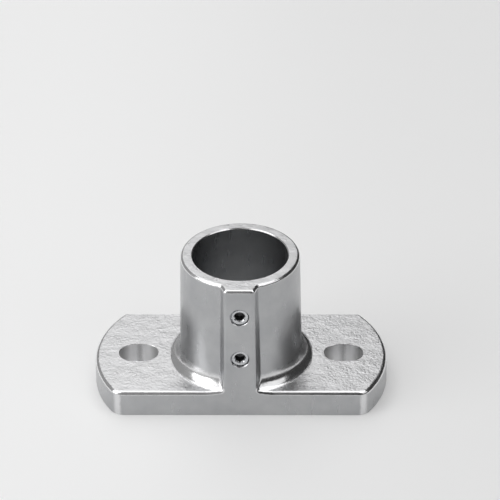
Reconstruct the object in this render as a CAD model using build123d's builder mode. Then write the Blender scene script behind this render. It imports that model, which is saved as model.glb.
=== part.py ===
"""Tube clamp base flange: a cast aluminium foot that holds an upright tube.

One casting carries everything: a plate with a bolt slot near each end, a round collar that the
tube drops into, and a flat boss up the front of the collar for two hexagon socket set screws.
The plate's front side and the boss share one plane, so from the front they are an upside-down T.

Millimetres, +Z up.  The origin is on the tube's axis, in the plane that the plate stands on, and
-Y is the front, where the screws are.
"""

import os
from math import cos, radians, tan

from build123d import *

# Tube and collar
tube_diameter = 48.26  # outside diameter of the tube
tube_clearance = 0.47  # room all round the tube
collar_height = 76.2  # from the plate's underside
collar_wall = 6.1  # at the collar's top
collar_draft = 1.25  # degrees
flare_height = 9.3  # hollow curve at the collar's foot, up the collar
flare_reach = 6.2  # and out over the plate

# Bolt slots
slot_spacing = 107.95  # from centre to centre
slot_length = 20.6
slot_width = 15.1

# Plate, measured at its underside
plate_thickness = 14.3
plate_side_margin = 3.85  # from the collar's foot to the plate's front and back
plate_end_margin = 12.6  # from a slot's outer end to the end of the plate
plate_end_bow = 12.3  # how far the ends curve outwards
plate_front_corner_radius = 8.0
plate_back_corner_radius = 15.0
side_draft = 1.0  # degrees, all outer sides and the boss

# Boss for the set screws
boss_front_width = 17.0  # at the foot, before its edges are rounded
boss_splay = 20.0  # degrees, each side opens by this from front to back

# Edges of the casting
boss_blend_radius = 2.6  # hollow curve between boss, collar and flare
edge_radius = 2.2  # plate's top edge and the boss's upright edges
rim_radius = 1.8  # top of the collar and boss
bore_edge_chamfer = 0.5
slot_edge_chamfer = 0.2
foot_edge_chamfer = 0.4

# Set screws
screw_diameter = 9.525
screw_length = 9.525
screw_clearance = 0.05  # room all round the screw in its hole
screw_tip_setback = 0.05  # how far outside the bore the tip stays
upper_screw_drop = 15.9  # from the collar's top down to the upper screw
screw_spacing = 25.4  # from the upper screw down to the lower
upper_socket_turn = 0.0  # degrees, the hexagon has a corner at each side
lower_socket_turn = 30.0  # degrees, the hexagon has a corner at top and bottom
socket_across_flats = 4.76
socket_depth = 4.6
socket_lead_in = 0.3
screw_head_chamfer = 0.5
screw_point_chamfer = 1.3
cup_diameter = 5.2
cup_depth = 1.3
hole_countersink = 0.15

# Worked out from the sizes above
bore_radius = tube_diameter / 2 + tube_clearance
collar_top_radius = bore_radius + collar_wall
collar_foot_radius = collar_top_radius + (collar_height - plate_thickness) * tan(radians(collar_draft))
plate_length = slot_spacing + slot_length + 2 * plate_end_margin
plate_width = 2 * (collar_foot_radius + plate_side_margin)
screw_hole_radius = screw_diameter / 2 + screw_clearance
screw_tip_y = -(bore_radius + screw_tip_setback)
upper_screw_height = collar_height - upper_screw_drop
lower_screw_height = upper_screw_height - screw_spacing


def plate_outline():
    """Plan of the plate: straight front and back, bowed ends, softer corners at the back."""
    end_x = plate_length / 2
    corner_x = end_x - plate_end_bow
    side_y = plate_width / 2
    with BuildSketch() as outline:
        with BuildLine():
            Line((-corner_x, -side_y), (corner_x, -side_y))
            ThreePointArc((corner_x, -side_y), (end_x, 0), (corner_x, side_y))
            Line((corner_x, side_y), (-corner_x, side_y))
            ThreePointArc((-corner_x, side_y), (-end_x, 0), (-corner_x, -side_y))
        make_face()
        corners = outline.vertices().sort_by(Axis.Y)
        fillet(corners[:2], plate_front_corner_radius)
        fillet(corners[2:], plate_back_corner_radius)
    return outline.sketch


def collar_profile():
    """Half section of the solid collar: drafted wall, hollow flare and the disc under them."""
    disc_radius = collar_foot_radius + 2 * flare_reach
    foot_corner = (collar_foot_radius, plate_thickness)
    flare_end = (collar_foot_radius + flare_reach, plate_thickness)
    flare_top = (
        collar_foot_radius - flare_height * tan(radians(collar_draft)),
        plate_thickness + flare_height,
    )
    with BuildSketch(Plane.XZ) as profile:
        with BuildLine():
            Polyline((0, 0), (disc_radius, 0), (disc_radius, plate_thickness), flare_end)
            Bezier(flare_end, foot_corner, flare_top, weights=(1, cos(radians(45)), 1))  # elliptical
            Polyline(flare_top, (collar_top_radius, collar_height), (0, collar_height), (0, 0))
        make_face()
    return profile.sketch


def boss_plan():
    """Plan of the boss, from a little in front of the plate back into the collar's wall."""
    front_y = -plate_width / 2 - edge_radius
    back_y = collar_wall / 2 - bore_radius
    slope = tan(radians(boss_splay))
    front_x = boss_front_width / 2 - edge_radius * slope
    back_x = front_x + (back_y - front_y) * slope
    with BuildSketch() as plan:
        Polygon(
            (-front_x, front_y), (front_x, front_y), (back_x, back_y), (-back_x, back_y), align=None
        )
    return plan.sketch


# All of the casting lies within the plate's own drafted sides, carried on up to the collar's top
with BuildPart() as drafted_sides:
    add(plate_outline())
    extrude(amount=collar_height, taper=side_draft)

with BuildPart() as flange_casting:
    add(collar_profile())
    revolve(axis=Axis.Z)
    add(plate_outline())
    extrude(amount=plate_thickness)
    add(boss_plan())
    extrude(amount=collar_height, taper=side_draft)
    add(drafted_sides.part, mode=Mode.INTERSECT)

    # The upright edges come in pairs, front to back: the boss's corners, then its roots
    wall_span = (plate_thickness + flare_height, collar_height)
    uprights = flange_casting.edges().filter_by_position(Axis.Z, *wall_span, inclusive=(False, False))
    boss_roots = uprights.sort_by(Axis.Y)[2:4]
    fillet(boss_roots, boss_blend_radius)  # carries on down over the flare to the front plane

    uprights = flange_casting.edges().filter_by_position(Axis.Z, *wall_span, inclusive=(False, False))
    boss_corners = uprights.sort_by(Axis.Y)[0:2]
    fillet(boss_corners, edge_radius)  # carries on right round the plate's top edge

    fillet(flange_casting.faces().sort_by(Axis.Z)[-1].edges(), rim_radius)
    chamfer(flange_casting.faces().sort_by(Axis.Z)[0].edges(), foot_edge_chamfer)

    # Bore for the tube
    Cylinder(
        bore_radius,
        collar_height,
        align=(Align.CENTER, Align.CENTER, Align.MIN),
        mode=Mode.SUBTRACT,
    )
    chamfer(flange_casting.edges(Select.LAST).filter_by(GeomType.CIRCLE), bore_edge_chamfer)

    # Bolt slots, along the plate
    with BuildSketch():
        with GridLocations(slot_spacing, 0, 2, 1):
            SlotOverall(slot_length, slot_width)
    extrude(amount=plate_thickness, mode=Mode.SUBTRACT)
    slot_edges = flange_casting.edges(Select.LAST).group_by(Axis.Z)
    chamfer(slot_edges[0] + slot_edges[-1], slot_edge_chamfer)

    # Tapped holes, from the boss's face through to the bore
    for height in (upper_screw_height, lower_screw_height):
        with Locations(Plane((0, -plate_width / 2, height), x_dir=(1, 0, 0), z_dir=(0, -1, 0))):
            Hole(screw_hole_radius, depth=plate_width / 2)
        hole_mouth = flange_casting.edges(Select.LAST).sort_by(Axis.Y)[0]
        chamfer(hole_mouth, hole_countersink)


def set_screw(height, socket_turn):
    """Headless screw with a hexagon socket in its outer end and a cup point at the bore."""
    tip_plane = Plane((0, screw_tip_y, height), x_dir=(1, 0, 0), z_dir=(0, -1, 0))
    on_tip = (Align.CENTER, Align.CENTER, Align.MIN)
    under_head = (Align.CENTER, Align.CENTER, Align.MAX)
    socket_corner_radius = socket_across_flats / 2 / cos(radians(30))
    with BuildPart(tip_plane) as screw:
        Cylinder(screw_diameter / 2, screw_length, align=on_tip)
        ends = screw.edges().filter_by(GeomType.CIRCLE).sort_by(Axis.Y)
        chamfer(ends[0], screw_head_chamfer)
        chamfer(ends[-1], screw_point_chamfer)
        with BuildSketch(tip_plane.offset(screw_length)):
            RegularPolygon(socket_corner_radius, 6, rotation=socket_turn)
        extrude(amount=-socket_depth, mode=Mode.SUBTRACT)
        # A short cone at the socket's mouth takes off the hexagon's sharp corners
        with Locations((0, 0, screw_length)):
            Cone(
                socket_corner_radius - socket_lead_in,
                socket_corner_radius + socket_lead_in,
                2 * socket_lead_in,
                align=under_head,
                mode=Mode.SUBTRACT,
            )
        Cone(cup_diameter / 2, 0, cup_depth, align=on_tip, mode=Mode.SUBTRACT)
    return screw.part


upper_set_screw = set_screw(upper_screw_height, upper_socket_turn)
lower_set_screw = set_screw(lower_screw_height, lower_socket_turn)

flange_casting.part.label = "flange_casting"
upper_set_screw.label = "upper_set_screw"
lower_set_screw.label = "lower_set_screw"

os.makedirs("parts", exist_ok=True)
export_step(flange_casting.part, "parts/flange_casting.step")
export_step(upper_set_screw, "parts/upper_set_screw.step")
export_step(lower_set_screw, "parts/lower_set_screw.step")
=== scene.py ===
"""Looks of the tube clamp base flange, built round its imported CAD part.

The casting keeps the CAD part's form and gets smooth shading and a cast, tumbled aluminium surface.
The two set screws are cut again with their real threads, hexagon sockets and cup points.  A pale
floor and soft studio lights stand round them.

Metres, +Z up, in the CAD part's frame: the origin is under the tube's axis and -Y is the front.
"""

from math import cos, pi, radians, sin, tan

import bmesh
import bpy
import numpy as np
from bpy.props import FloatProperty, FloatVectorProperty, PointerProperty
from mathutils import Matrix, Vector


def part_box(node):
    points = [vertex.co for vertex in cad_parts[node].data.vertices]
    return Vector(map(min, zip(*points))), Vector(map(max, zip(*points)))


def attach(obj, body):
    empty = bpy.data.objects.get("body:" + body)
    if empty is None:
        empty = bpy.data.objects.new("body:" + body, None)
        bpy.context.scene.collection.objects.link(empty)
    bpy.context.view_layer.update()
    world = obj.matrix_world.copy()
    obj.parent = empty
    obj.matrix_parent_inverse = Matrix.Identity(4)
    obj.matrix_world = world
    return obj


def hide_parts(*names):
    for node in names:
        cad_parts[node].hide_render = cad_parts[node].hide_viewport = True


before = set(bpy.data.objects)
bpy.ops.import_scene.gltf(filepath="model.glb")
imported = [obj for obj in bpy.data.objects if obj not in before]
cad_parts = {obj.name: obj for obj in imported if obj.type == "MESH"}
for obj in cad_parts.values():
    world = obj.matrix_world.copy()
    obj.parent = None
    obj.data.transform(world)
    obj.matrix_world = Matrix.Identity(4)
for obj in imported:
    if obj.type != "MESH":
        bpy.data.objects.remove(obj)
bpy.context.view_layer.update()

bl_info = {
    "name": "Tube clamp base flange",
    "version": (1, 0, 0),
    "blender": (4, 5, 0),
    "location": "View3D > Sidebar > Flange",
    "description": "Finishes the cast flange and its set screws, and lights them on a pale floor",
    "category": "Object",
}

MM = 0.001
TURN = 2 * pi

# Settings that several nodes share
SOFTLY = {"interpolation_type": "SMOOTHSTEP"}
OF_COLOURS = {"data_type": "RGBA", "output": 2}

# Noise runs from 0 to 1 but seldom leaves the first span, and a narrower one gives firmer edges
NOISE_SPAN = (0.3, 0.7)
CLOUD_SPAN = (0.35, 0.65)
WEAR_SPAN = (0.35, 0.62)

# How much longer upright streaks are than wide, and turning marks than the space between them
STREAK_STRETCH = (1, 1, 5)
MARK_STRETCH = (9, 1, 9)

# A surface's finish, and the painted light on it, follow the way it faces.  Each pair is a part
# of its unit normal, from where they start to show to where they show fully, and the single value
# is where they stop.
FACING_UP_ON_TOPS = (0.92, 0.995)
FACING_UP_ABOVE_SIDES = (0.08, 0.35)
FACING_UP_BELOW_TOPS = (0.99, 0.9)
SIDEWAYS_BESIDE_FRONT = (0.08, 0.3)
SIDEWAYS_BESIDE_ENDS = (0.7, 0.45)
FORWARD_ON_CORNERS = (-0.3, -0.6)
FACING_UP_OFF_WALLS = 0.5


# ---------------------------------------------------------------- colours and nodes


def linear(hex_colour):
    """Turns an sRGB hex colour, such as "#C8C9CB", into linear red, green and blue."""
    channels = np.array([int(hex_colour[i : i + 2], 16) for i in (1, 3, 5)]) / 255
    low = channels / 12.92
    high = ((channels + 0.055) / 1.055) ** 2.4
    return tuple(np.where(channels <= 0.04045, low, high).tolist())


def add_node(tree, kind, inputs=(), output=0, **settings):
    """Adds a node with its settings and gives back one of its outputs.  Its inputs, in order in a
    list or by name or number in a dictionary, are other nodes' outputs or plain values."""
    node = tree.nodes.new("ShaderNode" + kind)
    for key, value in settings.items():
        setattr(node, key, value)
    for key, value in inputs.items() if isinstance(inputs, dict) else enumerate(inputs):
        socket = node.inputs[key]
        if isinstance(value, bpy.types.NodeSocket):
            tree.links.new(value, socket)
        elif socket.type == "RGBA":
            socket.default_value = (*value, 1.0)
        else:
            socket.default_value = value
    return node.outputs[output] if node.outputs else None


def new_material(name):
    """An empty material and its node tree."""
    material = bpy.data.materials.new(name)
    material.use_nodes = True
    material.node_tree.nodes.clear()
    return material, material.node_tree


def mottle(tree, position, size, detail=2.0, roughness=0.5, stretch=(1, 1, 1)):
    """Soft noise, whose blobs are about size metres across, and longer along a stretched axis."""
    scale = [1 / (size * factor) for factor in stretch]
    place = add_node(tree, "Mapping", {"Vector": position, "Scale": scale})
    look = {"Vector": place, "Scale": 1.0, "Detail": detail, "Roughness": roughness}
    return add_node(tree, "TexNoise", look)


def all_of(tree, *masks):
    """Where every one of some masks from 0 to 1 holds, which is their product."""
    product = masks[0]
    for mask in masks[1:]:
        product = add_node(tree, "Math", [product, mask], operation="MULTIPLY")
    return product


# ---------------------------------------------------------------- materials


def rubbed_and_highlit_edges(tree, looks, place, facing):
    """How far the skin is rubbed smoother and painted with a highlight, from 0 to 1: fully on the
    rounded edges, which face neither straight out nor straight up, and partly on the plate's
    upright front corners, which face forward and sideways, up to the plate's thickness, where it
    is a painted reflection of the lit floor."""
    edges = all_of(
        tree,
        add_node(tree, "MapRange", [facing["Z"], *FACING_UP_ABOVE_SIDES], **SOFTLY),
        add_node(tree, "MapRange", [facing["Z"], *FACING_UP_BELOW_TOPS], **SOFTLY),
    )
    sideways = add_node(tree, "Math", [facing["X"]], operation="ABSOLUTE")
    corners = all_of(
        tree,
        add_node(tree, "MapRange", [sideways, *SIDEWAYS_BESIDE_FRONT], **SOFTLY),
        add_node(tree, "MapRange", [sideways, *SIDEWAYS_BESIDE_ENDS], **SOFTLY),
        add_node(tree, "Math", [place["Z"], looks.plate_thickness], operation="LESS_THAN"),
        add_node(tree, "MapRange", [facing["Y"], *FORWARD_ON_CORNERS]),
        looks.corner_painted_reflection,
    )
    return add_node(tree, "Math", [edges, corners], operation="MAXIMUM")


def cast_skin(tree, looks, position, top, grain):
    """The casting's bumps, as a normal: a slow ripple, fine grain, and on the flat tops pebbles,
    which are worn lower in places."""
    wear = mottle(tree, position, looks.wear_size, detail=3.0)
    pebbled = all_of(
        tree,
        mottle(tree, position, looks.pebble_size, detail=3.0, roughness=0.6),
        add_node(tree, "MapRange", [wear, *WEAR_SPAN, looks.worn_share, 1.0]),
        add_node(tree, "MapRange", [top, 0.0, 1.0, looks.side_share, 1.0]),
    )
    ripple = mottle(tree, position, looks.ripple_size)
    skin = add_node(tree, "Bump", {"Height": ripple, "Distance": looks.ripple_height})
    for height, depth in ((grain, looks.grain_height), (pebbled, looks.pebble_height)):
        skin = add_node(tree, "Bump", {"Height": height, "Distance": depth, "Normal": skin})
    return skin


def slot_walls(tree, looks, place, facing, streaks, grain):
    """Where the bolt slots' walls are, as 0 or 1, and their colour, painted light that brightens
    them:
    cloudy as they come from the mould, darker round the ends, where less light is painted, and
    along a faint upright seam half-way along each side.

    A wall is what doesn't face up and lies less than the slot's reach from its middle line, which
    is as long as the slot's straight sides."""
    off_middle = add_node(tree, "Math", [place["X"]], operation="ABSOLUTE")
    off_middle = add_node(tree, "Math", [off_middle, looks.slot_place], operation="SUBTRACT")
    along = add_node(tree, "Math", [off_middle], operation="ABSOLUTE")
    past = add_node(tree, "Math", [along, looks.slot_straight / 2], operation="SUBTRACT")
    past = add_node(tree, "Math", [past, 0.0], operation="MAXIMUM")
    off_line = add_node(tree, "CombineXYZ", {"X": past, "Y": place["Y"]})
    off_line = add_node(tree, "VectorMath", [off_line], output="Value", operation="LENGTH")
    walls = all_of(
        tree,
        add_node(tree, "Math", [off_line, looks.slot_reach], operation="LESS_THAN"),
        add_node(tree, "Math", [facing["Z"], FACING_UP_OFF_WALLS], operation="LESS_THAN"),
    )

    wander = add_node(tree, "Math", [grain, looks.seam_wander], operation="MULTIPLY")
    off_seam = add_node(tree, "Math", [along, wander], operation="ADD")
    seam_edge = (looks.seam_wander / 2, looks.seam_wander / 2 + looks.seam_edge)
    seam = add_node(tree, "MapRange", [off_seam, *seam_edge, looks.seam_shade, 1.0])
    cloudy = add_node(tree, "MapRange", [streaks, *NOISE_SPAN])
    ends = [along, looks.slot_end_start, looks.slot_end_full]
    ends = add_node(tree, "MapRange", ends, **SOFTLY)
    # The slots' walls get painted light, cloudy at random
    colour = {0: cloudy, 6: looks.slot_painted_light_colour, 7: looks.slot_painted_light_streak_colour}
    colour = add_node(tree, "Mix", colour, **OF_COLOURS)
    colour = add_node(tree, "Mix", {0: ends, 6: colour, 7: looks.slot_end_colour}, **OF_COLOURS)
    colour = add_node(tree, "VectorMath", {0: colour, "Scale": seam}, operation="SCALE")
    return walls, colour


def cast_aluminium(looks):
    """Aluminium, cast in a mould and tumbled bright: silvery, pebbled like beaten foil on the flat
    tops, satin with faint upright cloudiness on the drawn sides, smoother on the rounded edges,
    which rub against other castings in the tumbler, and matt in the slots, where nothing rubs.
    Its colour holds painted light on the flat tops and the slots' walls, a painted highlight on the
    rounded edges and a painted reflection on the plate's upright front corners."""
    material, tree = new_material("cast_aluminium")
    position = add_node(tree, "TexCoord", output="Object")
    normal = add_node(tree, "NewGeometry", output="Normal")
    place = add_node(tree, "SeparateXYZ", [position]).node.outputs
    facing = add_node(tree, "SeparateXYZ", [normal]).node.outputs
    patches = mottle(tree, position, looks.patch_size, detail=3.0, roughness=0.6)
    streaks = mottle(tree, position, looks.streak_width, stretch=STREAK_STRETCH)
    grain = mottle(tree, position, looks.grain_size)

    top = add_node(tree, "MapRange", [facing["Z"], *FACING_UP_ON_TOPS], **SOFTLY)
    rubbed_and_highlit = rubbed_and_highlit_edges(tree, looks, place, facing)
    walls, wall_painted_light = slot_walls(tree, looks, place, facing, streaks, grain)

    patchy = add_node(tree, "MapRange", [patches, *NOISE_SPAN])
    colour = looks.colour
    # Over the cast colour and its random patches: painted light on the flat tops, a painted
    # highlight on the rounded edges and a painted reflection on the plate's front corners, then the
    # slots' walls with their painted light
    layers = (
        (patchy, looks.light_colour),
        (top, looks.top_painted_light_colour),
        (rubbed_and_highlit, looks.edge_highlight_colour),
        (walls, wall_painted_light),
    )
    for amount, over in layers:
        colour = add_node(tree, "Mix", {0: amount, 6: colour, 7: over}, **OF_COLOURS)

    streaky = (looks.roughness - looks.streak_depth, looks.roughness + looks.streak_depth)
    satin = add_node(tree, "MapRange", [streaks, *NOISE_SPAN, *streaky])
    polish = add_node(tree, "Math", [rubbed_and_highlit, looks.edge_polish], operation="MULTIPLY")
    polished = add_node(tree, "Math", [satin, polish], operation="SUBTRACT")
    metal = {
        "Base Color": colour,
        "Metallic": 1.0,
        "Roughness": add_node(tree, "MapRange", [walls, 0.0, 1.0, polished, looks.slot_roughness]),
        "Normal": cast_skin(tree, looks, position, top, grain),
    }
    add_node(tree, "OutputMaterial", [add_node(tree, "BsdfPrincipled", metal)])
    return material


def plated_steel(looks):
    """Steel, turned and then bright zinc-plated: cooler and smoother than the casting, with fine
    turning marks round the screw's axis and a slight cloudiness."""
    material, tree = new_material("plated_steel")
    position = add_node(tree, "TexCoord", output="Object")
    clouds = mottle(tree, position, looks.cloud_size, detail=3.0)
    marks = mottle(tree, position, looks.mark_spacing, detail=1.0, stretch=MARK_STRETCH)
    cloudy = add_node(tree, "MapRange", [clouds, *CLOUD_SPAN])
    colour = {0: cloudy, 6: looks.colour, 7: looks.light_colour}
    uneven = (looks.roughness - looks.cloud_depth, looks.roughness + looks.cloud_depth)
    metal = {
        "Base Color": add_node(tree, "Mix", colour, **OF_COLOURS),
        "Metallic": 1.0,
        "Roughness": add_node(tree, "MapRange", [clouds, *NOISE_SPAN, *uneven]),
        "Normal": add_node(tree, "Bump", {"Height": marks, "Distance": looks.mark_depth}),
    }
    add_node(tree, "OutputMaterial", [add_node(tree, "BsdfPrincipled", metal)])
    return material


def painted_socket_shade(looks):
    """Painted shade down in the sockets, which hold a little oil: dark, uneven and barely glossy."""
    material, tree = new_material("painted_socket_shade")
    position = add_node(tree, "TexCoord", output="Object")
    shade_blotches = mottle(tree, position, looks.scale_size, detail=3.0)
    blotchy_shade = add_node(tree, "MapRange", [shade_blotches, *NOISE_SPAN])
    colour = {0: blotchy_shade, 6: looks.socket_colour, 7: looks.socket_dark_colour}
    metal = {
        "Base Color": add_node(tree, "Mix", colour, **OF_COLOURS),
        "Metallic": 1.0,
        "Roughness": looks.socket_roughness,
    }
    add_node(tree, "OutputMaterial", [add_node(tree, "BsdfPrincipled", metal)])
    return material


def two_tone(tree, position, left, right, span):
    """A colour that goes softly from one at -span along X to another at +span."""
    across = add_node(tree, "SeparateXYZ", [position], output="X")
    amount = add_node(tree, "MapRange", [across, -span, span], **SOFTLY)
    return add_node(tree, "Mix", {0: amount, 6: left, 7: right}, **OF_COLOURS)


def studio_paper(looks):
    """Matt white paper on the floor.  Part of what it shows, to the eye and in the metal, is its
    own plain colour, which evens out the light on it, and the rest keeps the part's shadow.  Far
    away, out of the softboxes' reach, nearly all of it is.  A painted shade makes it a little
    darker on the right."""
    material, tree = new_material("studio_paper")
    position = add_node(tree, "TexCoord", output="Object")
    colour = two_tone(
        tree, position, looks.floor_colour, looks.floor_right_painted_shade_colour, looks.floor_fade
    )
    away = add_node(tree, "VectorMath", [position], output="Value", operation="LENGTH")
    evenness = add_node(
        tree,
        "MapRange",
        [away, looks.far_start, looks.far_full, looks.floor_evenness, looks.far_evenness],
        **SOFTLY,
    )
    rays = add_node(tree, "LightPath").node.outputs
    seen = add_node(
        tree, "Math", [rays["Is Camera Ray"], rays["Is Glossy Ray"]], operation="MAXIMUM"
    )
    matt = add_node(tree, "BsdfDiffuse", {"Color": colour})
    plain = add_node(tree, "Emission", {"Color": colour})
    surface = add_node(tree, "MixShader", [all_of(tree, seen, evenness), matt, plain])
    add_node(tree, "OutputMaterial", [surface])
    return material


def dim_screens(looks):
    """Grey studio screens, lit evenly from behind."""
    material, tree = new_material("dim_screens")
    position = add_node(tree, "TexCoord", output="Object")
    colour = two_tone(tree, position, looks.left_screen, looks.right_screen, looks.screen_fade)
    add_node(tree, "OutputMaterial", [add_node(tree, "Emission", {"Color": colour})])
    return material


# ---------------------------------------------------------------- meshes


def new_object(name, mesh, *materials):
    """Links a mesh to the scene as an object at the origin."""
    for material in materials:
        mesh.materials.append(material)
    made = bpy.data.objects.new(name, mesh)
    bpy.context.scene.collection.objects.link(made)
    return made


def smooth(made, sharp_angle):
    """Smooth shading that breaks at edges sharper than sharp_angle and leans to larger faces."""
    made.data.shade_smooth()
    made.data.set_sharp_from_angle(angle=sharp_angle)
    weights = made.modifiers.new("weighted_normals", "WEIGHTED_NORMAL")
    weights.keep_sharp = True


def grid_faces(rows, columns):
    """The four corners of every cell of a grid of points, as an array (cells, 4)."""
    first = np.arange(rows - 1)[:, None] * columns + np.arange(columns - 1)[None, :]
    corners = [first, first + 1, first + columns + 1, first + columns]
    return np.stack(corners, axis=-1).reshape(-1, 4)


def turned_mesh(name, rings):
    """A closed surface from rings of points, an array (rings, points round, 3).  Neighbouring
    rings are joined by four-sided faces.  The first and last ring may shrink to a point.  Points
    that coincide are merged, which also closes the seam."""
    mesh = bpy.data.meshes.new(name)
    mesh.from_pydata(rings.reshape(-1, 3).tolist(), [], grid_faces(*rings.shape[:2]).tolist())
    work = bmesh.new()
    work.from_mesh(mesh)
    bmesh.ops.remove_doubles(work, verts=work.verts, dist=0.001 * MM)
    bmesh.ops.recalc_face_normals(work, faces=work.faces)
    work.to_mesh(mesh)
    work.free()
    return mesh


# ---------------------------------------------------------------- set screws


def thread_radius(height, angle, sizes):
    """Radius of the thread's surface at a height along the screw and an angle round it.

    The phase is height / pitch - angle / turn, so that it climbs one pitch each turn, right-handed.
    Over one pitch the radius stays on the crest for an eighth of it, falls along a flank 30 degrees
    off the radius to the root, stays there, and climbs back."""
    phase = (height / sizes.pitch - angle / TURN) % 1.0
    crest = 1 / 8
    flank = sizes.thread_depth * tan(radians(30)) / sizes.pitch
    fall = np.clip((phase - crest) / flank, 0, 1)
    climb = np.clip((phase - (1 - flank)) / flank, 0, 1)
    return sizes.major_radius - sizes.thread_depth * (fall - climb)


def socket_corner(sizes):
    """Radius of a hexagon socket at its corners."""
    return sizes.across_flats / 2 / cos(radians(30))


def set_screw_mesh(name, tip, sizes, socket_turn):
    """A socket set screw as one closed surface round the -Y axis, from its cup to its socket.

    Its rings are, in order: the cup's cone, the point's narrow flat, the threaded side, the head's
    flat ring, the socket's lead-in, its six walls and its shallow cone floor.  On the side, a ring
    climbs one pitch as it goes round, and is cut off level at the two ends.  Its radius is the
    thread's or the chamfers' cone's, whichever is smaller."""
    points_round = 144
    rings_per_turn = 8
    angle = np.linspace(0, TURN, points_round + 1)
    level = np.ones_like(angle)
    length = sizes.length

    rows = np.arange(-rings_per_turn, int(length / sizes.pitch + 1) * rings_per_turn + 1)
    climbed = rows[:, None] / rings_per_turn + angle[None, :] / TURN
    height = np.clip(climbed * sizes.pitch, 0, length)
    point_cone = np.maximum(sizes.point_chamfer - height, 0)
    head_cone = np.maximum(sizes.head_chamfer - (length - height), 0)
    cone = sizes.major_radius - np.maximum(point_cone, head_cone)
    side = np.minimum(thread_radius(height, angle[None, :], sizes), cone)

    sixth = radians(60)
    off_corner = (angle - socket_turn) % sixth
    hexagon = sizes.across_flats / 2 / np.cos(off_corner - sixth / 2)
    mouth = socket_corner(sizes) + sizes.socket_lead
    floor = length - sizes.socket_depth

    profile = [
        (0 * level, sizes.cup_depth * level),
        (sizes.cup_radius * level, 0 * level),
        *zip(side, height),
        (mouth * level, length * level),
        (hexagon, length - (mouth - hexagon)),
        (hexagon, floor * level),
        (0.35 * hexagon, (floor - 0.5 * MM) * level),  # the drill's cone, a third of the way in
        (0 * level, (floor - 0.8 * MM) * level),
    ]
    radius = np.array([ring[0] for ring in profile])
    along = np.array([ring[1] for ring in profile])
    rings = np.stack(
        [tip.x + radius * np.cos(angle), tip.y - along, tip.z + radius * np.sin(angle)], axis=-1
    )
    return turned_mesh(name, rings)


def paint_socket_shade(mesh, tip, sizes):
    """Gives the second material, the painted shade, to the socket's faces: those whose middles lie
    inside the hexagon's corners and past the first third of the screw, beyond the cup."""
    middles = np.empty(len(mesh.polygons) * 3, np.float32)
    mesh.polygons.foreach_get("center", middles)
    x, y, z = (middles.reshape(-1, 3) - np.array(tip)).T
    inside = np.hypot(x, z) < 0.99 * socket_corner(sizes)  # the lead-in and the head stay plated
    beyond_cup = -y > sizes.length / 3
    mesh.polygons.foreach_set("material_index", (inside & beyond_cup).astype(np.int32))


# ---------------------------------------------------------------- casting


def merged_copy(node, name):
    """A new mesh with a CAD node's triangles, joined where their corners meet."""
    source = node.data
    points = np.empty(len(source.vertices) * 3, np.float32)
    source.vertices.foreach_get("co", points)
    corners = np.empty(len(source.loops), np.int32)
    source.loops.foreach_get("vertex_index", corners)
    mesh = bpy.data.meshes.new(name)
    mesh.from_pydata(points.reshape(-1, 3).tolist(), [], corners.reshape(-1, 3).tolist())
    work = bmesh.new()
    work.from_mesh(mesh)
    bmesh.ops.remove_doubles(work, verts=work.verts, dist=0.002 * MM)
    work.to_mesh(mesh)
    work.free()
    return mesh


# ---------------------------------------------------------------- studio


def surround_mesh(name, looks):
    """Part of a dome round the floor: its points are radius times (cos e sin a, -cos e cos a,
    sin e) for turns a from behind, through the left, the front and the right, to behind, and rises
    e from 0 to a top edge.

    The top edge is level along each screen and runs straight to the next one.  The screens are, in
    that order: back, left, low under the side softbox, front, back height again, right, back."""
    back, left, low, front, right = (
        looks.back_rise, looks.left_rise, looks.low_rise, looks.front_rise, looks.right_rise
    )
    top_edge = (
        (-180, back), (-158, back),
        (-148, left), (-98, left),
        (-86, low), (-45, low),
        (-25, front), (25, front),
        (42, back), (78, back),
        (92, right), (160, right),
        (172, back), (180, back),
    )
    degrees, rises = zip(*top_edge)
    columns, rows = 181, 17
    turn = np.linspace(-pi, pi, columns)[None, :]
    rise = np.linspace(0, 1, rows)[:, None] * np.interp(turn, np.radians(degrees), rises)
    points = looks.surround_radius * np.stack(
        [np.cos(rise) * np.sin(turn), -np.cos(rise) * np.cos(turn), np.sin(rise)], axis=-1
    )
    mesh = bpy.data.meshes.new(name)
    mesh.from_pydata(points.reshape(-1, 3).tolist(), [], grid_faces(rows, columns).tolist())
    return mesh


def flat_sheet(name, half):
    """A level square sheet at the floor's height, half of whose width is given."""
    corners = [(-half, -half, 0), (half, -half, 0), (half, half, 0), (-half, half, 0)]
    mesh = bpy.data.meshes.new(name)
    mesh.from_pydata(corners, [], [(0, 1, 2, 3)])
    return mesh


def outward(turn, rise):
    """The direction from the part that is turned from the front towards +X, and raised."""
    return Vector((sin(turn) * cos(rise), -cos(turn) * cos(rise), sin(rise)))


def softbox(name, place, towards, radiance, width, height):
    """A rectangular light that shines in one direction, as bright all over as radiance says.  Its
    power is its radiance times pi times its area."""
    lamp = bpy.data.lights.new(name, "AREA")
    lamp.shape = "RECTANGLE"
    lamp.size, lamp.size_y = width, height
    lamp.energy = radiance * pi * width * height
    made = bpy.data.objects.new(name, lamp)
    made.location = place
    made.rotation_mode = "QUATERNION"
    made.rotation_quaternion = towards.to_track_quat("-Z", "Y")
    bpy.context.scene.collection.objects.link(made)


def studio_air(looks):
    """A world of one plain colour, beyond the floor."""
    world = bpy.data.worlds.new("studio_air")
    world.use_nodes = True
    background = world.node_tree.nodes["Background"]
    background.inputs["Color"].default_value = (*looks.air_colour, 1.0)
    background.inputs["Strength"].default_value = 1.0
    return world


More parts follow.
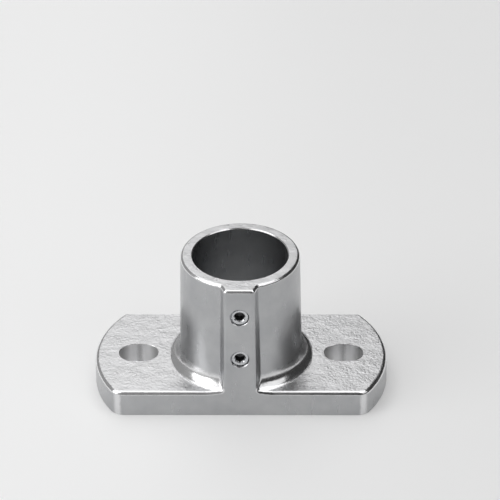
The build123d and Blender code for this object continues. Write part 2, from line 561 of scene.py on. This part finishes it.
def studio_camera(looks):
    """A camera at its distance from the point it aims at, turned, raised and rolled."""
    lens = bpy.data.cameras.new("studio_camera")
    lens.lens = looks.lens
    lens.sensor_width = 36
    lens.clip_start, lens.clip_end = 0.05, 20
    camera = bpy.data.objects.new("studio_camera", lens)
    bpy.context.scene.collection.objects.link(camera)
    back = outward(looks.camera_azimuth, looks.camera_elevation)
    roll = Matrix.Rotation(looks.camera_roll, 3, "Z").to_quaternion()
    camera.location = Vector(looks.camera_aim) + back * looks.camera_distance
    camera.rotation_mode = "QUATERNION"
    camera.rotation_quaternion = (-back).to_track_quat("-Z", "Y") @ roll
    return camera


# ---------------------------------------------------------------- what a user may change


def length(name, description, default):
    return FloatProperty(name=name, description=description, default=default, min=0, unit="LENGTH")


def angle(name, description, degrees):
    return FloatProperty(
        name=name, description=description, default=radians(degrees), subtype="ANGLE"
    )


def share(name, description, default):
    return FloatProperty(
        name=name, description=description, default=default, min=0, max=1, subtype="FACTOR"
    )


def number(name, description, default):
    return FloatProperty(name=name, description=description, default=default, min=0)


def point(name, description, default):
    return FloatVectorProperty(
        name=name, description=description, default=default, subtype="XYZ", unit="LENGTH"
    )


def colour(name, description, hex_colour):
    return FloatVectorProperty(
        name=name,
        description=description,
        default=linear(hex_colour),
        size=3,
        min=0,
        max=1,
        subtype="COLOR",
    )


class CastingLooks(bpy.types.PropertyGroup):
    sharp_angle: angle("Sharp angle", "Edges sharper than this stay crisp", 28)
    pebble_size: length("Pebble size", "Width of the bumps on the flat tops", 1.4 * MM)
    pebble_height: length("Pebble height", "Height of the bumps on the flat tops", 0.32 * MM)
    wear_size: length("Wear size", "Width of the places where the bumps are worn", 7 * MM)
    worn_share: share("Worn bumps", "Height that is left of a worn bump", 0.55)
    side_share: share("Side bumps", "Height of the bumps on the drawn sides", 0.05)
    ripple_size: length("Ripple size", "Width of the slow ripple", 7 * MM)
    ripple_height: length("Ripple height", "Height of the slow ripple", 0.1 * MM)
    grain_size: length("Grain size", "Width of the fine grain, coarse enough to show", 0.5 * MM)
    grain_height: length("Grain height", "Height of the fine grain", 0.012 * MM)
    patch_size: length("Patch size", "Width of the brighter patches", 14 * MM)
    streak_width: length("Streak width", "Of the upright cloudiness on the sides", 2.5 * MM)
    streak_depth: share("Streak depth", "How much the streaks change the roughness", 0.03)
    roughness: share("Roughness", "Of the satin sides", 0.3)
    edge_polish: share("Edge polish", "How much smoother the rounded edges are", 0.12)
    # Painted reflection of the lit floor on the plate's upright front corners, which are also
    # rubbed smoother
    corner_painted_reflection: share("Corner rub", "How far the plate's upright corners are rubbed", 0.7)
    plate_thickness: length("Plate thickness", "Top of the rubbed upright corners", 14.3 * MM)
    slot_place: length("Slot place", "From the collar's axis to a slot's middle", 53.975 * MM)
    slot_straight: length("Slot straight", "Length of a slot's straight sides", 5.5 * MM)
    slot_reach: length("Slot reach", "Half a slot's width, and a little more", 7.65 * MM)
    slot_end_start: length("Slot end start", "From a slot's middle to its darker ends", 4 * MM)
    slot_end_full: length("Slot end full", "And to where they are darkest", 9.5 * MM)
    slot_roughness: share("Slot roughness", "Of the slots' walls", 0.7)
    seam_wander: length("Seam wander", "How far the mould's seam strays", 3 * MM)
    seam_edge: length("Seam edge", "Width over which the seam fades out", 2.1 * MM)
    seam_shade: share("Seam shade", "Brightness along the seam", 0.68)
    colour: colour("Colour", "Cast aluminium", "#AFB0B2")
    light_colour: colour("Light colour", "Its brighter patches", "#BBBCBD")
    # Painted light: the flat tops are lighter where they face up to the softboxes
    top_painted_light_colour: colour("Top colour", "Flat tops", "#D4D4D5")
    # Painted highlight on the rounded edges
    edge_highlight_colour: colour("Edge colour", "Where the edges are rubbed bright", "#EEEEEF")
    # Painted light that brightens the slots' walls, less round the ends
    slot_painted_light_colour: colour("Slot colour", "The slots' walls", "#F6F6F7")
    slot_painted_light_streak_colour: colour("Slot light colour", "Their brighter streaks", "#FDFDFE")
    slot_end_colour: colour("Slot end colour", "Their round ends", "#BCBCBC")


class ScrewLooks(bpy.types.PropertyGroup):
    major_radius: length("Radius", "At the thread's crests", 4.7625 * MM)
    length: length("Length", "From end to end", 9.525 * MM)
    pitch: length("Pitch", "The thread's climb in one turn", 1.5875 * MM)
    thread_depth: length("Thread depth", "From crest to root", 0.9 * MM)
    across_flats: length("Socket", "Across its flats", 4.76 * MM)
    socket_depth: length("Socket depth", "Down to the foot of its walls", 4.6 * MM)
    socket_lead: length("Lead-in", "Width of the cone at the socket's mouth", 0.3 * MM)
    head_chamfer: length("Head chamfer", "At 45 degrees", 0.5 * MM)
    point_chamfer: length("Point chamfer", "At 45 degrees", 1.3 * MM)
    cup_radius: length("Cup radius", "At the point's rim", 2.6 * MM)
    cup_depth: length("Cup depth", "At the point's middle", 1.3 * MM)
    upper_turn: angle("Upper turn", "Of the upper socket", 0)
    lower_turn: angle("Lower turn", "Of the lower socket", 30)
    sharp_angle: angle("Sharp angle", "Edges sharper than this stay crisp", 25)
    cloud_size: length("Cloud size", "Width of the plating's clouds", 1.2 * MM)
    cloud_depth: share("Cloud depth", "How much the clouds change the roughness", 0.05)
    mark_spacing: length("Mark spacing", "Of the turning marks, coarse enough to show", 0.25 * MM)
    mark_depth: length("Mark depth", "Of the turning marks", 0.012 * MM)
    # The sockets' painted shade: the size of its blotches, its roughness and, below, its colours
    scale_size: length("Scale size", "Width of the sockets' flakes of scale", 0.8 * MM)
    roughness: share("Roughness", "Of the plating", 0.26)
    socket_roughness: share("Socket roughness", "Of the scale", 0.45)
    colour: colour("Colour", "Zinc plating", "#C2C4C7")
    light_colour: colour("Light colour", "Its brighter patches", "#D2D3D5")
    # Painted shade inside the sockets, darker in blotches at random
    socket_colour: colour("Socket colour", "Scale inside the sockets", "#A0A0A2")
    socket_dark_colour: colour("Socket dark colour", "Its darker flakes", "#3F3F3F")


class StudioLooks(bpy.types.PropertyGroup):
    camera_distance: length("Camera distance", "From the point aimed at", 1.1381)
    camera_elevation: angle("Camera elevation", "Above the horizon", 32.733)
    camera_azimuth: angle("Camera azimuth", "Round from the front", 0.797)
    camera_roll: angle("Camera roll", "Tilt round its own axis", -0.413)
    camera_aim: point("Camera aim", "Point in the middle of the view", (0.00507, 0, 0.07858))
    lens: number("Lens", "Focal length in millimetres", 160.22)
    softbox_radiance: number("Softbox", "Brightness of the overhead softbox, 1 is white", 0.6)
    softbox_place: point("Softbox place", "Middle of the overhead softbox", (-1.4, 0.9, 2.5))
    softbox_width: length("Softbox width", "Along X", 6.0)
    softbox_depth: length("Softbox depth", "Along Y", 4.4)
    side_radiance: number("Side softbox", "Brightness of the one on the left, 1 is white", 1.6)
    side_turn: angle("Side softbox turn", "Round from the front, to the left if negative", -67)
    side_rise: angle("Side softbox rise", "Above the horizon", 24)
    side_distance: length("Side softbox distance", "From the part", 1.9)
    side_width: length("Side softbox width", "Across", 1.2)
    side_height: length("Side softbox height", "Upwards", 0.95)
    surround_radius: length("Surround radius", "Of the screens that stand round the floor", 2.2)
    front_rise: angle("Front rise", "Top of the screens in front, seen from the part", 76)
    left_rise: angle("Left rise", "Top of the screens on the left", 52)
    right_rise: angle("Right rise", "Top of the screens on the right", 58)
    back_rise: angle("Back rise", "Top of the screens behind", 24)
    low_rise: angle("Low rise", "Top of the screens under the side softbox", 9)
    floor_half: length("Floor half", "From the part to the floor's edges", 4.0)
    floor_fade: length("Floor fade", "From the part to where the floor's colours are full", 0.13)
    screen_fade: length("Screen fade", "And to where the screens' are", 0.25)
    floor_colour: colour("Floor", "Pale floor, on the left", "#F9F9F9")
    # Painted shade: the floor is a little darker on the right
    floor_right_painted_shade_colour: colour("Floor, far side", "Pale floor, on the right", "#F1F1F1")
    floor_evenness: share("Floor evenness", "How much of its look is its plain colour", 0.28)
    far_start: length("Far start", "From the part to where the floor gets more even", 0.6)
    far_full: length("Far full", "And to where it is most even", 1.6)
    far_evenness: share("Far evenness", "How even it is there", 0.85)
    air_colour: colour("Air", "Everything beyond the floor", "#F9F9F9")
    left_screen: colour("Left screen", "Glow of the screens on the left", "#949494")
    right_screen: colour("Right screen", "Glow of the screens on the right", "#3A3A3A")


# ---------------------------------------------------------------- operators


class FLANGE_OT_casting(bpy.types.Operator):
    """Finish the casting: smooth shading and a cast aluminium surface"""

    bl_idname = "flange.casting"
    bl_label = "Casting"

    def execute(self, context):
        looks = context.scene.flange_casting
        mesh = merged_copy(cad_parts["flange_casting"], "finished_casting")
        made = new_object("finished_casting", mesh, cast_aluminium(looks))
        smooth(made, looks.sharp_angle)
        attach(made, "flange")
        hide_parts("flange_casting")
        return {"FINISHED"}


class FLANGE_OT_set_screws(bpy.types.Operator):
    """Cut the two set screws with their threads, sockets and cup points"""

    bl_idname = "flange.set_screws"
    bl_label = "Set screws"

    def execute(self, context):
        looks = context.scene.flange_screws
        # The second material paints shade into the sockets
        steel, scale = plated_steel(looks), painted_socket_shade(looks)
        for place, turn in (("upper", looks.upper_turn), ("lower", looks.lower_turn)):
            node = f"{place}_set_screw"
            low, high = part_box(node)
            tip = Vector(((low.x + high.x) / 2, high.y, (low.z + high.z) / 2))
            mesh = set_screw_mesh(f"{place}_screw_finished", tip, looks, turn)
            made = new_object(f"{place}_screw_finished", mesh, steel, scale)
            paint_socket_shade(mesh, tip, looks)
            smooth(made, looks.sharp_angle)
            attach(made, f"{place}_screw")
            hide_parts(node)
        return {"FINISHED"}


class FLANGE_OT_studio(bpy.types.Operator):
    """Lay the floor, stand the screens round it, hang the softboxes and set up the camera"""

    bl_idname = "flange.studio"
    bl_label = "Studio"

    def execute(self, context):
        looks = context.scene.flange_studio
        sheet = flat_sheet("studio_floor", looks.floor_half)
        new_object("studio_floor", sheet, studio_paper(looks))

        screens = surround_mesh("surround_screens", looks)
        surround = new_object("surround_screens", screens, dim_screens(looks))
        surround.visible_camera = False

        overhead = (looks.softbox_radiance, looks.softbox_width, looks.softbox_depth)
        softbox("overhead_softbox", Vector(looks.softbox_place), Vector((0, 0, -1)), *overhead)
        beside = (looks.side_radiance, looks.side_width, looks.side_height)
        place = outward(looks.side_turn, looks.side_rise) * looks.side_distance
        softbox("side_softbox", place, -place, *beside)

        context.scene.world = studio_air(looks)
        context.scene.camera = studio_camera(looks)
        context.scene.view_settings.view_transform = "Standard"
        return {"FINISHED"}


class FLANGE_PT_pieces(bpy.types.Panel):
    """Lists the pieces and the sizes and colours behind them"""

    bl_idname = "FLANGE_PT_pieces"
    bl_label = "Tube clamp base flange"
    bl_space_type = "VIEW_3D"
    bl_region_type = "UI"
    bl_category = "Flange"

    def draw(self, context):
        for name, (group, operator) in GROUPS.items():
            self.layout.operator(operator)
            looks = getattr(context.scene, name)
            for key in group.__annotations__:
                self.layout.prop(looks, key)


GROUPS = {
    "flange_studio": (StudioLooks, "flange.studio"),
    "flange_casting": (CastingLooks, "flange.casting"),
    "flange_screws": (ScrewLooks, "flange.set_screws"),
}
CLASSES = (
    StudioLooks,
    CastingLooks,
    ScrewLooks,
    FLANGE_OT_studio,
    FLANGE_OT_casting,
    FLANGE_OT_set_screws,
    FLANGE_PT_pieces,
)


def register():
    for cls in CLASSES:
        bpy.utils.register_class(cls)
    for name, (group, _) in GROUPS.items():
        setattr(bpy.types.Scene, name, PointerProperty(type=group))


def unregister():
    for name in GROUPS:
        delattr(bpy.types.Scene, name)
    for cls in reversed(CLASSES):
        bpy.utils.unregister_class(cls)


def main():
    """Builds every piece in turn."""
    register()
    bpy.ops.flange.studio()
    bpy.ops.flange.casting()
    bpy.ops.flange.set_screws()


if __name__ == "__main__":
    main()
